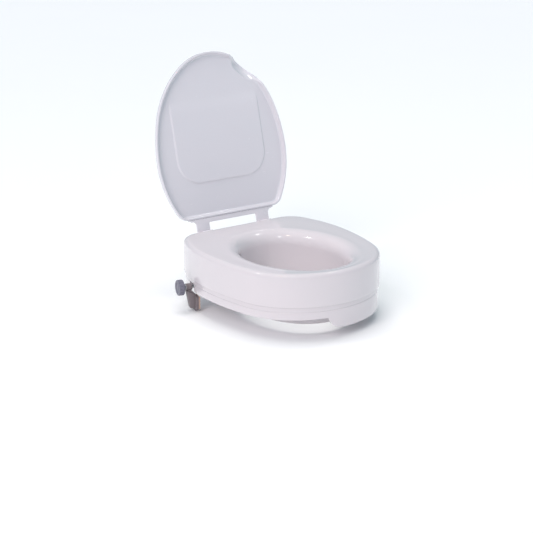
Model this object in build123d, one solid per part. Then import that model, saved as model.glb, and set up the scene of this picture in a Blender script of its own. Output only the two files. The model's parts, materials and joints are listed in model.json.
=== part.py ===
from build123d import *
import os
from math import acos, asin, cos, degrees, pi, radians, sin, sqrt

# Raised toilet seat. Millimetres, +Z up, -Y towards the front, +Y towards the hinge.
# The origin lies in the plane of the seat's underside, below the middle of the seat's length.

# ---- Seat body: overall sizes -------------------------------------------------------------
SEAT_HALF_WIDTH = 187.0
SEAT_HEIGHT = 100.0
REAR_Y = 205.0              # straight rear edge
WIDEST_Y = 51.0             # where the plan is widest
SIDE_RADIUS = 560.0         # plan arcs, from the widest point to the nose
SHOULDER_RADIUS = 151.0
SIDE_TURN = 14.0            # degrees that the side arc turns
SHOULDER_TURN = 61.5        # degrees turned at the end of the shoulder arc
BACK_RADIUS = 308.0         # plan arc behind the widest point
REAR_CORNER_RADIUS = 55.0
WALL = 4.0
TOP_ROUND = 10.0
STEP_Z = 27.0               # upper band ends here
STEP_IN = 4.0               # the lower band is set in by this much
STEP_ROUND = 1.2
SEAM_Z = 16.0               # joint between shell and base tray

# ---- Opening ------------------------------------------------------------------------------
THROAT_HALF_WIDTH = 105.0
THROAT_HALF_LENGTH = 135.0
THROAT_Y = -18.0
THROAT_SIDE_RADIUS = 165.0
THROAT_ROUND = 32.0

# ---- Base tray ----------------------------------------------------------------------------
FLOOR = 4.0
TRAY_WALL = 3.5
COLLAR_WALL = 3.0
COLLAR_DEPTH = 28.0
LIP_DEPTH = 26.0
LIP_WALL = 3.5
LIP_LEFT_X = -36.0          # the front lip runs from here round the right front side
LIP_RIGHT_Y = -100.0
LIP_END = 38.0              # each end of the lip rises in a quarter ellipse of this length

# ---- Pads and screws of the tray ----------------------------------------------------------
PAD_RADIUS = 11.0
PAD_RECESS = 2.0
PAD_PROUD = 2.5
PAD_OUTSET = 20.0           # pad centre from the throat wall
PAD_ANGLES = (-52.0, 62.0)
TRAY_SCREW_RADIUS = 2.0
TRAY_SCREW_LENGTH = 16.0
TRAY_SCREW_HEAD_RADIUS = 4.0
TRAY_SCREW_INSET = 30.0
TRAY_SCREW_ANGLES = (-76.0, -18.0, 69.0)
TRAY_SCREW_SLOT = 1.6
BOSS_RADIUS = 6.0
SCREW_PLAY = 0.03
SCREW_SLOT_WIDTH = 1.0

# ---- Lid ----------------------------------------------------------------------------------
LID_SIDE_MARGIN = 15.7      # seat edge to lid edge at the widest point
LID_WIDEST_Y = 42.0
LID_SIDE_RADIUS = 334.0
LID_SHOULDER_RADIUS = 216.0
LID_SIDE_TURN = 17.2
LID_SHOULDER_TURN = 54.4
LID_BACK_RADIUS = 233.0
LID_CORNER_RADIUS = 28.0
LID_REAR_MARGIN = 29.6      # seat's rear edge to the lid's rear edge
LID_DEPTH = 14.0
LID_SKIN = 3.0
LID_RIM = 4.5
LID_GAP = 0.5               # rim above the seat when shut
LID_ROUND = 8.0
PANEL_HALF_WIDTH = 113.0
PANEL_REAR_MARGIN = 69.0    # lid's rear edge to the panel's rear edge
PANEL_FRONT_Y = -112.0
PANEL_CORNER = 56.0
PANEL_STEP = 2.2
PANEL_SLOPE = 2.0           # the recess on top is this much smaller than the panel below
ARCH_ANGLE = -46.0          # where along the lid's edge the finger lift is
ARCH_HALF_LENGTH = 57.0
ARCH_RADIUS = 40.0
ARCH_SINK = 12.0            # axis of the arch below the rim plane
ARCH_SKIN = 3.0

# ---- Hinge --------------------------------------------------------------------------------
PIVOT_BEHIND = 3.0          # pivot behind the seat's rear edge
PIVOT_BELOW = 7.5           # pivot below the seat's top
OPEN_ANGLE = 104.9
PIN_RADIUS = 2.5
PIN_PLAY = 0.05
PIN_SHORT = 1.0             # pin's end inside the outer lug's face
LUG_RADIUS = 4.5
BARREL_RADIUS = 4.5
BARREL_INNER_X = 70.0
BARREL_OUTER_X = 90.0
LUG_WIDTH = 6.0
LUG_PLAY = 0.5
STRAP_THICKNESS = 3.0
STRAP_LIFT = 1.0            # strap above the lid's rim plane
STRAP_HALF_WIDTH = 112.0
NECK_HALF_WIDTH = 97.0
SLOT_HALF_WIDTH = 63.0
SLOT_START = 11.0           # from the lid's rear edge to the slot
CRANK_OUT = 5.5             # strap's end behind the pivot
NECK_CURVE = 20.0
STOP_DROP = 8.3             # top of the stop ledge below the pivot
STOP_THICKNESS = 5.0
STOP_REACH = 12.5
HINGE_SCREW_X = (35.0, 95.0)
HINGE_SCREW_RADIUS = 1.5
HINGE_SCREW_DEPTH = 6.0
HINGE_SCREW_HEAD_RADIUS = 3.2
HINGE_SCREW_HEAD = 1.8
HINGE_SCREW_Z = 9.2         # above the rim plane
HINGE_SCREW_SLOT = 4.5
FLANGE_DROP = 1.5           # flange top below the lid's top

# ---- Side clamps, in each clamp's own directions: u outwards from the lower band, z up -------
CLAMP_TURN = 13.0           # degrees of the back arc from the widest point to the clamp
SPINDLE_Z = SEAM_Z / 2
SPINDLE_RADIUS = 4.0
SPINDLE_PLAY = 0.05
SPINDLE_TAIL = 8.0          # spindle beyond the nut when the jaw is farthest out
SPINDLE_CHAMFER = 0.8
JAW_OUT = 9.0               # travel outwards and inwards from the clamped place shown
JAW_IN = 14.0
BOSS_U = (2.0, 15.0)
JAW_BOSS_RADIUS = SPINDLE_Z - 0.5
JAW_ARM_WIDTH = 13.0
JAW_ARM_TOP_Z = 2.0
JAW_PLATE_WIDTH = 30.0
JAW_PLATE_U = -5.0          # outer face of the jaw plate
JAW_PLATE = 5.5
JAW_PLATE_ROUND = 3.0
JAW_TOP_Z = -13.0
JAW_BOTTOM_Z = -48.0
ARM_FOOT_U = 6.0            # arm's outer edge slants from the boss to this place
ARM_FOOT_Z = -41.0
FOOT_WIDTH = 9.0            # cut from the plate's lower front corner
FOOT_HEIGHT = 4.0
JAW_PAD = 4.5
JAW_PAD_MARGIN = 1.5
JAW_PAD_BOTTOM = 5.5        # pad's lower edge above the plate's lower edge
NOTCH_HALF_WIDTH = 13.5
NOTCH_PLAY = 2.0
WASHER_RADIUS = JAW_BOSS_RADIUS - 0.5
WASHER = 1.2
CLIP = 1.0
CLIP_GAP = 0.2
HUB_RADIUS = SPINDLE_RADIUS + 2.0
HUB = 4.8
KNOB_RADIUS = 17.5
KNOB_THICKNESS = 12.5
KNOB_ROUND = 1.5
KNOB_FLUTES = 14
KNOB_FLUTE_RADIUS = 3.0
KNOB_FLUTE_OUT = 1.65       # flute centres beyond the knob's radius
KNOB_DISH = 1.5
KNOB_DISH_MARGIN = 5.0
KNOB_FACE = 2.0             # between the spindle's end and the dished face
NUT_ACROSS = 3.25 * SPINDLE_RADIUS
NUT_THICKNESS = 6.5
NUT_WALL = 3.0
NUT_PLAY = 0.2

# ---- Worked-out places --------------------------------------------------------------------
PIVOT_Y = REAR_Y + PIVOT_BEHIND
PIVOT_Z = SEAT_HEIGHT - PIVOT_BELOW
RIM_Z = SEAT_HEIGHT + LID_GAP
LID_REAR_Y = REAR_Y - LID_REAR_MARGIN
NOTCH_DEPTH = JAW_IN - BOSS_U[0] + CLIP_GAP + CLIP + NOTCH_PLAY
NUT_OUTER_U = -NOTCH_DEPTH - NUT_WALL
NUT_INNER_U = NUT_OUTER_U - NUT_THICKNESS


def egg_arcs(half_width, widest_y, side, shoulder, side_turn, shoulder_turn, back, rear_y, corner):
    """Right half of an egg plan: (centre, radius, first angle, last angle) of tangent arcs, nose first."""
    side_c = Vector(half_width - side, widest_y)
    a = radians(side_turn)
    shoulder_c = side_c + (side - shoulder) * Vector(cos(a), -sin(a))
    b = radians(shoulder_turn)
    nose = shoulder + shoulder_c.X / cos(b)
    nose_c = shoulder_c + (shoulder - nose) * Vector(cos(b), -sin(b))
    back_c = Vector(half_width - back, widest_y)
    rise = rear_y - corner - widest_y
    corner_turn = asin(rise / (back - corner))
    corner_c = back_c + (back - corner) * Vector(cos(corner_turn), sin(corner_turn))
    return [
        (nose_c, nose, -90, -shoulder_turn),
        (shoulder_c, shoulder, -shoulder_turn, -side_turn),
        (side_c, side, -side_turn, 0),
        (back_c, back, 0, degrees(corner_turn)),
        (corner_c, corner, degrees(corner_turn), 90),
    ]


def oval_arcs(half_width, half_length, side, centre_y):
    """Right half of a four-arc oval, front end first."""
    end = (side**2 - (side - half_width) ** 2 - half_length**2) / (2 * (side - half_length))
    turn = degrees(acos((side - half_width) / (side - end)))
    side_c = Vector(half_width - side, centre_y)
    reach = Vector(0, half_length - end)
    middle = Vector(0, centre_y)
    return [
        (middle - reach, end, -90, -turn),
        (side_c, side, -turn, turn),
        (middle + reach, end, turn, 90),
    ]


SEAT_PLAN = egg_arcs(SEAT_HALF_WIDTH, WIDEST_Y, SIDE_RADIUS, SHOULDER_RADIUS, SIDE_TURN,
                     SHOULDER_TURN, BACK_RADIUS, REAR_Y, REAR_CORNER_RADIUS)
LID_PLAN = egg_arcs(SEAT_HALF_WIDTH - LID_SIDE_MARGIN, LID_WIDEST_Y, LID_SIDE_RADIUS,
                    LID_SHOULDER_RADIUS, LID_SIDE_TURN, LID_SHOULDER_TURN, LID_BACK_RADIUS,
                    LID_REAR_Y, LID_CORNER_RADIUS)
THROAT_PLAN = oval_arcs(THROAT_HALF_WIDTH, THROAT_HALF_LENGTH, THROAT_SIDE_RADIUS, THROAT_Y)


def on_arc(arc, angle, grow=0.0):
    """Point at an angle on an arc of a plan that is grown outwards by a distance."""
    centre, radius = arc[0], arc[1] + grow
    return centre + radius * Vector(cos(radians(angle)), sin(radians(angle)))


def plan_point(plan, angle, grow=0.0):
    """Point of a plan's right half whose outward normal has this angle."""
    for arc in plan:
        if arc[2] <= angle <= arc[3]:
            return on_arc(arc, angle, grow)


def plan_face(plan, grow=0.0):
    """Closed face of a plan and its mirror image, grown outwards by a distance."""
    right = []
    for arc in plan:
        ends = [on_arc(arc, a, grow) for a in (arc[2], (arc[2] + arc[3]) / 2, arc[3])]
        right.append(ThreePointArc(*ends))
    edges = right + [mirror(edge, Plane.YZ) for edge in right]
    last = on_arc(plan[-1], plan[-1][3], grow)
    if last.X > 0.001:
        edges.append(Line(last, (-last.X, last.Y)))
    return make_face(edges)


def slab(plan, grow, low, high):
    """Upright prism of a grown plan between two heights."""
    return extrude(Pos(0, 0, low) * plan_face(plan, grow), high - low)


def block(low, high):
    """Box between two corners."""
    size = [b - a for a, b in zip(low, high)]
    middle = [(a + b) / 2 for a, b in zip(low, high)]
    return Pos(*middle) * Box(*size)


def rod(radius, start, length, axis):
    """Solid cylinder from a point along an axis."""
    plane = Plane(origin=start, z_dir=axis)
    return extrude(plane * Circle(radius), length)


def both_sides(shape):
    """The shape and its mirror image across the middle plane."""
    return shape + mirror(shape, Plane.YZ)


def edges_at(shape, z):
    """Edges that lie wholly at one height."""
    near = 0.01
    return [e for e in shape.edges()
            if abs(e.bounding_box().min.Z - z) < near and abs(e.bounding_box().max.Z - z) < near]


def clamp_place(turn=CLAMP_TURN):
    """Location of the right clamp: +X outwards, +Y along the band, on the lower band's surface."""
    point = on_arc(SEAT_PLAN[3], turn, -STEP_IN)
    return Pos(point.X, point.Y, 0) * Rot(0, 0, turn)


def tray_screw_points():
    right = [plan_point(SEAT_PLAN, angle, -TRAY_SCREW_INSET) for angle in TRAY_SCREW_ANGLES]
    return [(side * p.X, p.Y) for p in right for side in (1, -1)]


def pad_points():
    right = [plan_point(THROAT_PLAN, angle, PAD_OUTSET) for angle in PAD_ANGLES]
    return [(side * p.X, p.Y) for p in right for side in (1, -1)]


# ---- Seat body ----------------------------------------------------------------------------
def seat_shell():
    """Hollow moulding: skirt, top, rounded throat, screw bosses, hinge lugs and stop ledges."""
    body = slab(SEAT_PLAN, 0, STEP_Z, SEAT_HEIGHT)
    body = fillet(edges_at(body, SEAT_HEIGHT), TOP_ROUND)
    body = fillet(edges_at(body, STEP_Z), STEP_ROUND)
    body += slab(SEAT_PLAN, -STEP_IN, SEAM_Z, STEP_Z + WALL)
    throat = slab(THROAT_PLAN, 0, 0, SEAT_HEIGHT)
    body -= throat
    rim = [e for e in edges_at(body, SEAT_HEIGHT)
           if e.center().Y < plan_point(THROAT_PLAN, 90).Y + 1 and abs(e.center().X) < THROAT_HALF_WIDTH + 1
           and e.center().Y > plan_point(THROAT_PLAN, -90).Y - 1]
    body = fillet(rim, THROAT_ROUND)
    ceiling = SEAT_HEIGHT - WALL
    hollow = slab(SEAT_PLAN, -WALL, STEP_Z + WALL, ceiling)
    hollow = fillet(edges_at(hollow, ceiling), TOP_ROUND - WALL)
    hollow += slab(SEAT_PLAN, -WALL - STEP_IN, 0, ceiling - TOP_ROUND)
    hollow -= slab(THROAT_PLAN, WALL, 0, ceiling)
    inner = [e for e in edges_at(hollow, ceiling)
             if abs(e.center().X) < THROAT_HALF_WIDTH + 2 * WALL
             and abs(e.center().Y - THROAT_Y) < THROAT_HALF_LENGTH + 2 * WALL]
    hollow = fillet(inner, THROAT_ROUND + WALL)
    outer = body
    body -= hollow
    body += slab(THROAT_PLAN, WALL, FLOOR, SEAM_Z) - throat
    for x, y in tray_screw_points():
        body += outer & rod(BOSS_RADIUS, (x, y, SEAM_Z), ceiling + WALL / 2 - SEAM_Z, (0, 0, 1))
        body += rod(BOSS_RADIUS, (x, y, FLOOR), SEAM_Z - FLOOR, (0, 0, 1))
        body -= rod(TRAY_SCREW_RADIUS + SCREW_PLAY, (x, y, 0), TRAY_SCREW_LENGTH + 1, (0, 0, 1))
    return hinge_lugs(body)


def hinge_lugs(body):
    """Adds the pin lugs and stop ledges to the rear wall, with pockets for the strap's barrels."""
    pocket_low = BARREL_INNER_X - LUG_PLAY
    pocket_width = BARREL_OUTER_X - BARREL_INNER_X + 2 * LUG_PLAY
    for start in (pocket_low - LUG_WIDTH, pocket_low + pocket_width):
        lug = rod(LUG_RADIUS, (start, PIVOT_Y, PIVOT_Z), LUG_WIDTH, (1, 0, 0))
        lug += block((start, REAR_Y - WALL, PIVOT_Z - LUG_RADIUS),
                     (start + LUG_WIDTH, PIVOT_Y, PIVOT_Z))
        body += both_sides(lug)
    pocket = rod(BARREL_RADIUS + LUG_PLAY, (pocket_low, PIVOT_Y, PIVOT_Z), pocket_width, (1, 0, 0))
    body -= both_sides(pocket)
    stop_z = PIVOT_Z - STOP_DROP
    ledge = block((BARREL_INNER_X, REAR_Y - WALL / 2, stop_z - STOP_THICKNESS),
                  (BARREL_OUTER_X, REAR_Y + STOP_REACH, stop_z))
    body += both_sides(ledge)
    return body - both_sides(pin_shape(PIN_PLAY))


def pin_shape(play=0.0):
    """Hinge pin of the right side, from the inner lug's face into the outer lug."""
    start = BARREL_INNER_X - LUG_PLAY - LUG_WIDTH
    length = BARREL_OUTER_X - BARREL_INNER_X + 2 * LUG_PLAY + 2 * LUG_WIDTH - PIN_SHORT
    return rod(PIN_RADIUS + play, (start - play, PIVOT_Y, PIVOT_Z), length + play, (1, 0, 0))


def base_tray():
    """Closes the body from below: floor, low wall, splash collar, front lip and nut housings."""
    tray = slab(SEAT_PLAN, -STEP_IN, 0, SEAM_Z)
    tray -= slab(SEAT_PLAN, -STEP_IN - TRAY_WALL, FLOOR, SEAM_Z)
    tray += slab(THROAT_PLAN, COLLAR_WALL, -COLLAR_DEPTH, 0)
    tray += front_lip()
    for side in (1, -1):
        tray += on_side(nut_housing(), side)
        tray -= on_side(jaw_notch(), side)
        tray -= on_side(nut_pocket(), side)
    tray -= slab(THROAT_PLAN, 0, -COLLAR_DEPTH, SEAM_Z)
    for x, y in tray_screw_points():
        tray -= rod(TRAY_SCREW_RADIUS + SCREW_PLAY, (x, y, 0), FLOOR, (0, 0, 1))
        tray -= screw_head((x, y), SCREW_PLAY)
    for x, y in pad_points():
        tray -= rod(PAD_RADIUS, (x, y, 0), PAD_RECESS, (0, 0, 1))
    return tray


def front_lip():
    """Curtain below the lower band round the front and right front, its ends swept up."""
    ring = slab(SEAT_PLAN, -STEP_IN, -LIP_DEPTH, 0) - slab(SEAT_PLAN, -STEP_IN - LIP_WALL, -LIP_DEPTH, 0)
    far = 2 * SEAT_HALF_WIDTH
    front = extrude(Plane.XZ * lip_side(LIP_LEFT_X, far), far, both=True)
    sideways = extrude(Plane.YZ * lip_side(-LIP_RIGHT_Y, far), far, both=True)
    return ring & front & mirror(sideways, Plane.XZ)


def lip_side(start, far):
    """Side view of the lip from its end, a quarter ellipse, to far beyond it."""
    end = EllipticalCenterArc((start + LIP_END, 0), LIP_END, LIP_DEPTH, 180, arc_size=90)
    rest = Polyline((start + LIP_END, -LIP_DEPTH), (far, -LIP_DEPTH), (far, 0), (start, 0))
    return make_face([end, rest])


def on_side(shape, side):
    """Places a clamp shape on the right side, or mirrored on the left."""
    placed = clamp_place() * shape
    return placed if side > 0 else mirror(placed, Plane.YZ)


def jaw_notch():
    """Room in the tray's wall and floor for the jaw's boss to slide in."""
    return block((-NOTCH_DEPTH, -NOTCH_HALF_WIDTH, -1), (STEP_IN + 1, NOTCH_HALF_WIDTH, SEAM_Z))


def nut_housing():
    half = NUT_ACROSS / 2 + NUT_WALL
    return block((NUT_INNER_U - NUT_WALL, -half, FLOOR / 2), (-NOTCH_DEPTH, half, SEAM_Z))


def nut_pocket():
    """Slot for the captive nut, open at the top, and the spindle's way through housing and floor."""
    half = NUT_ACROSS / 2 + NUT_PLAY
    pocket = block((NUT_INNER_U - NUT_PLAY, -half, SPINDLE_Z), (NUT_OUTER_U + NUT_PLAY, half, SEAM_Z))
    pocket += Pos(NUT_OUTER_U + NUT_PLAY, 0, SPINDLE_Z) * hexagon(half, NUT_THICKNESS + 2 * NUT_PLAY)
    reach = spindle_start() - JAW_IN - SPINDLE_PLAY
    way = rod(SPINDLE_RADIUS + 2 * NUT_PLAY, (reach, 0, SPINDLE_Z), -reach, (1, 0, 0))
    return pocket + way


def hexagon(half_across, length):
    """Hexagonal prism along -X with two flats upright, its end face at x = 0."""
    corner = half_across / cos(pi / 6)
    face = Plane(origin=(0, 0, 0), x_dir=(0, 0, 1), z_dir=(-1, 0, 0)) * RegularPolygon(corner, 6)
    return extrude(face, length)


def screw_head(point, grow=0.0):
    """Countersunk head in the tray floor, its face flush with the underside."""
    x, y = point
    depth = TRAY_SCREW_HEAD_RADIUS - TRAY_SCREW_RADIUS
    return Pos(x, y, depth / 2) * Cone(TRAY_SCREW_HEAD_RADIUS + grow, TRAY_SCREW_RADIUS + grow, depth)


def tray_screws():
    """Six countersunk screws that hold the tray to the shell."""
    screws = []
    for point in tray_screw_points():
        shank = rod(TRAY_SCREW_RADIUS, (*point, 0), TRAY_SCREW_LENGTH, (0, 0, 1))
        slot = Pos(*point, 0) * Box(SCREW_SLOT_WIDTH, TRAY_SCREW_HEAD_RADIUS, TRAY_SCREW_SLOT)
        screws.append(shank + screw_head(point) - slot)
    return Compound(children=screws)


def anti_slip_pad(point):
    """Round rubber pad set in the tray's underside, its edge rounded."""
    pad = rod(PAD_RADIUS - NUT_PLAY, (*point, -PAD_PROUD), PAD_PROUD + PAD_RECESS, (0, 0, 1))
    return fillet(edges_at(pad, -PAD_PROUD), 1.0)


# ---- Lid ----------------------------------------------------------------------------------
def lid_panel(grow, low, high):
    """U-shaped panel of the lid, its front end left straight."""
    rear = LID_REAR_Y - PANEL_REAR_MARGIN + grow
    half = PANEL_HALF_WIDTH + grow
    plate = block((-half, PANEL_FRONT_Y - grow, low), (half, rear, high))
    corners = [e for e in plate.edges().filter_by(Axis.Z)]
    return fillet(corners, PANEL_CORNER)


def arch_body(shrink):
    """Spheroid about the lid's edge: an ellipse turned about an axis along the edge."""
    long_axis, short_axis = ARCH_HALF_LENGTH - shrink, ARCH_RADIUS - shrink
    curve = EllipticalCenterArc((0, 0), long_axis, short_axis, 0, arc_size=180)
    face = make_face([curve, Line((-long_axis, 0), (long_axis, 0))])
    spheroid = revolve(face, Axis.X, 360)
    point = plan_point(LID_PLAN, ARCH_ANGLE)
    return Pos(point.X, point.Y, RIM_Z - ARCH_SINK) * Rot(0, 0, ARCH_ANGLE + 90) * spheroid


def lid():
    """Shallow cover with a rolled edge, a stepped panel and an arched finger lift."""
    top = RIM_Z + LID_DEPTH
    cover = slab(LID_PLAN, 0, RIM_Z, top)
    cover = fillet(edges_at(cover, top), LID_ROUND)
    hood = arch_body(0) & slab(LID_PLAN, 0, RIM_Z, top + ARCH_RADIUS)
    cover += hood
    cavity = slab(LID_PLAN, -LID_RIM, RIM_Z - 1, top - LID_SKIN)
    cavity = fillet(edges_at(cavity, top - LID_SKIN), LID_ROUND)
    cover -= cavity
    cover += lid_panel(0, top - LID_SKIN - PANEL_STEP, top - LID_SKIN)
    cover -= lid_panel(-PANEL_SLOPE, top - PANEL_STEP, top + 1)
    cover -= arch_body(ARCH_SKIN)
    for x, y, z in hinge_screw_points():
        cover -= rod(HINGE_SCREW_RADIUS + SCREW_PLAY, (x, y, z), HINGE_SCREW_DEPTH + 0.2, (0, -1, 0))
    return cover


def hinge_screw_points():
    """Where the four hinge screws enter the lid's rear rim."""
    return [(side * x, LID_REAR_Y, RIM_Z + HINGE_SCREW_Z) for x in HINGE_SCREW_X for side in (1, -1)]


# ---- Hinge --------------------------------------------------------------------------------
def hinge_strap():
    """Strap behind the lid: upright flange, flat neck with a slot, cranked legs and barrels."""
    low = RIM_Z + STRAP_LIFT
    high = low + STRAP_THICKNESS
    end_y = PIVOT_Y + CRANK_OUT
    neck_y = LID_REAR_Y + NECK_CURVE
    waist = NECK_HALF_WIDTH
    right = [
        Line((0, LID_REAR_Y), (STRAP_HALF_WIDTH, LID_REAR_Y)),
        Line((STRAP_HALF_WIDTH, LID_REAR_Y), (STRAP_HALF_WIDTH, LID_REAR_Y + STRAP_THICKNESS)),
        Spline((STRAP_HALF_WIDTH, LID_REAR_Y + STRAP_THICKNESS), (waist, neck_y),
               tangents=[(-1, 0.35), (0, 1)]),
        Line((waist, neck_y), (waist, end_y)),
        Line((waist, end_y), (0, end_y)),
    ]
    plate = extrude(Pos(0, 0, low) * make_face(right + [mirror(e, Plane.YZ) for e in right]), STRAP_THICKNESS)
    plate -= block((-SLOT_HALF_WIDTH, LID_REAR_Y + SLOT_START, low - 1),
                   (SLOT_HALF_WIDTH, end_y + 1, high + 1))
    flange_top = RIM_Z + LID_DEPTH - FLANGE_DROP
    flange = block((-STRAP_HALF_WIDTH, LID_REAR_Y, low),
                   (STRAP_HALF_WIDTH, LID_REAR_Y + STRAP_THICKNESS, flange_top))
    crank = block((BARREL_INNER_X, end_y - STRAP_THICKNESS, PIVOT_Z), (BARREL_OUTER_X, end_y, high))
    barrel_width = BARREL_OUTER_X - BARREL_INNER_X
    crank += rod(BARREL_RADIUS, (BARREL_INNER_X, PIVOT_Y, PIVOT_Z), barrel_width, (1, 0, 0))
    strap = plate + flange + both_sides(crank)
    for x, y, z in hinge_screw_points():
        strap -= rod(HINGE_SCREW_RADIUS + SCREW_PLAY, (x, y - 1, z), STRAP_THICKNESS + 2, (0, 1, 0))
    return strap - both_sides(pin_shape(PIN_PLAY))


def hinge_screws():
    """Four pan-head screws through the strap's flange into the lid."""
    screws = []
    for x, y, z in hinge_screw_points():
        outer = y + STRAP_THICKNESS
        shank = rod(HINGE_SCREW_RADIUS, (x, outer, z), STRAP_THICKNESS + HINGE_SCREW_DEPTH, (0, -1, 0))
        head = rod(HINGE_SCREW_HEAD_RADIUS, (x, outer, z), HINGE_SCREW_HEAD, (0, 1, 0))
        slot = Pos(x, outer + HINGE_SCREW_HEAD, z) * Box(SCREW_SLOT_WIDTH, HINGE_SCREW_HEAD, HINGE_SCREW_SLOT)
        screws.append(shank + head - slot)
    return Compound(children=screws)


def opened(shape):
    """Turns a lid piece from shut to the open rest pose about the hinge pins."""
    pivot = Pos(0, PIVOT_Y, PIVOT_Z)
    return pivot * Rot(-OPEN_ANGLE, 0, 0) * pivot.inverse() * shape


# ---- Side clamps --------------------------------------------------------------------------
def clamp_jaw():
    """Boss on the spindle, slanted arm and the plate that hangs beside the bowl."""
    first, last = BOSS_U
    half = JAW_PLATE_WIDTH / 2
    inner = JAW_PLATE_U - JAW_PLATE
    boss = rod(JAW_BOSS_RADIUS, (first, 0, SPINDLE_Z), last - first, (1, 0, 0))
    profile = Polyline((first, SPINDLE_Z), (last, SPINDLE_Z), (last, JAW_ARM_TOP_Z),
                       (ARM_FOOT_U, ARM_FOOT_Z), (inner, ARM_FOOT_Z), (inner, JAW_TOP_Z),
                       (first, SPINDLE_Z - JAW_BOSS_RADIUS), (first, SPINDLE_Z))
    arm = extrude(Plane.XZ * make_face(profile), JAW_ARM_WIDTH / 2, both=True)
    plate = block((inner, -half, JAW_BOTTOM_Z), (JAW_PLATE_U, half, JAW_TOP_Z))
    plate = fillet(plate.edges().filter_by(Axis.X), JAW_PLATE_ROUND)
    foot = block((inner - 1, -half - 1, JAW_BOTTOM_Z - 1),
                 (JAW_PLATE_U + 1, FOOT_WIDTH - half, JAW_BOTTOM_Z + FOOT_HEIGHT))
    bore = rod(SPINDLE_RADIUS + SPINDLE_PLAY, (first - 1, 0, SPINDLE_Z), last - first + 2, (1, 0, 0))
    return boss + arm + (plate - foot) - bore


def jaw_pad():
    """Rubber pad on the jaw plate's inner face."""
    half = JAW_PLATE_WIDTH / 2 - JAW_PAD_MARGIN
    outer = JAW_PLATE_U - JAW_PLATE
    pad = block((outer - JAW_PAD, -half, JAW_BOTTOM_Z + JAW_PAD_BOTTOM), (outer, half, JAW_TOP_Z - JAW_PAD_MARGIN))
    return fillet(pad.faces().sort_by(Axis.X)[0].edges(), 1.0)


def knob():
    """Fluted hand knob with a dished face and a hub towards the jaw."""
    hub_u = BOSS_U[1] + WASHER
    face_u = hub_u + HUB
    wheel = rod(KNOB_RADIUS, (face_u, 0, SPINDLE_Z), KNOB_THICKNESS, (1, 0, 0))
    wheel = fillet(wheel.edges().filter_by(GeomType.CIRCLE), KNOB_ROUND)
    for i in range(KNOB_FLUTES):
        turn = 2 * pi * i / KNOB_FLUTES
        reach = KNOB_RADIUS + KNOB_FLUTE_OUT
        start = (face_u - 1, reach * cos(turn), SPINDLE_Z + reach * sin(turn))
        wheel -= rod(KNOB_FLUTE_RADIUS, start, KNOB_THICKNESS + 2, (1, 0, 0))
    dish_u = face_u + KNOB_THICKNESS - KNOB_DISH
    wheel -= rod(KNOB_RADIUS - KNOB_DISH_MARGIN, (dish_u, 0, SPINDLE_Z), KNOB_DISH + 1, (1, 0, 0))
    hub = rod(HUB_RADIUS, (hub_u, 0, SPINDLE_Z), HUB + 1, (1, 0, 0))
    bore = rod(SPINDLE_RADIUS, (hub_u - 1, 0, SPINDLE_Z), spindle_end() - hub_u + 1, (1, 0, 0))
    return wheel + hub - bore


def spindle_start():
    """Inner end of the spindle at rest."""
    return NUT_INNER_U - JAW_OUT - SPINDLE_TAIL


def spindle_end():
    """Outer end of the spindle, inside the knob."""
    return BOSS_U[1] + WASHER + HUB + KNOB_THICKNESS - KNOB_DISH - KNOB_FACE


def spindle():
    """Threaded spindle from inside the knob through jaw and nut."""
    start = spindle_start()
    shaft = rod(SPINDLE_RADIUS, (start, 0, SPINDLE_Z), spindle_end() - start, (1, 0, 0))
    return chamfer(shaft.faces().sort_by(Axis.X)[0].edges(), SPINDLE_CHAMFER)


def collar_ring(start, thickness):
    """Flat ring on the spindle, used for the thrust washer and the retaining clip."""
    ring = rod(WASHER_RADIUS, (start, 0, SPINDLE_Z), thickness, (1, 0, 0))
    return ring - rod(SPINDLE_RADIUS, (start - 1, 0, SPINDLE_Z), thickness + 2, (1, 0, 0))


def clamp_nut():
    """Captive hexagon nut in the tray's housing."""
    nut = Pos(NUT_OUTER_U, 0, SPINDLE_Z) * hexagon(NUT_ACROSS / 2, NUT_THICKNESS)
    hole = rod(SPINDLE_RADIUS + SPINDLE_PLAY, (NUT_INNER_U - 1, 0, SPINDLE_Z), NUT_THICKNESS + 2, (1, 0, 0))
    return nut - hole


# ---- All pieces ---------------------------------------------------------------------------
parts = {
    "seat_shell": seat_shell(),
    "base_tray": base_tray(),
    "tray_screws": tray_screws(),
    "lid": opened(lid()),
    "hinge_strap": opened(hinge_strap()),
    "hinge_screws": opened(hinge_screws()),
    "hinge_pin_right": pin_shape(),
    "hinge_pin_left": mirror(pin_shape(), Plane.YZ),
}
for name, point in zip(("front_right", "front_left", "rear_right", "rear_left"), pad_points()):
    parts["anti_slip_pad_" + name] = anti_slip_pad(point)
clip_u = BOSS_U[0] - CLIP_GAP - CLIP
for side, name in ((1, "right"), (-1, "left")):
    parts["clamp_jaw_" + name] = on_side(clamp_jaw(), side)
    parts["jaw_pad_" + name] = on_side(jaw_pad(), side)
    parts["clamp_knob_" + name] = on_side(knob(), side)
    parts["clamp_spindle_" + name] = on_side(spindle(), side)
    parts["thrust_washer_" + name] = on_side(collar_ring(BOSS_U[1], WASHER), side)
    parts["retaining_clip_" + name] = on_side(collar_ring(clip_u, CLIP), side)
    parts["clamp_nut_" + name] = on_side(clamp_nut(), side)

os.makedirs("parts", exist_ok=True)
for name, shape in parts.items():
    export_step(shape, "parts/" + name + ".step")
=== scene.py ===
import json

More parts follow.
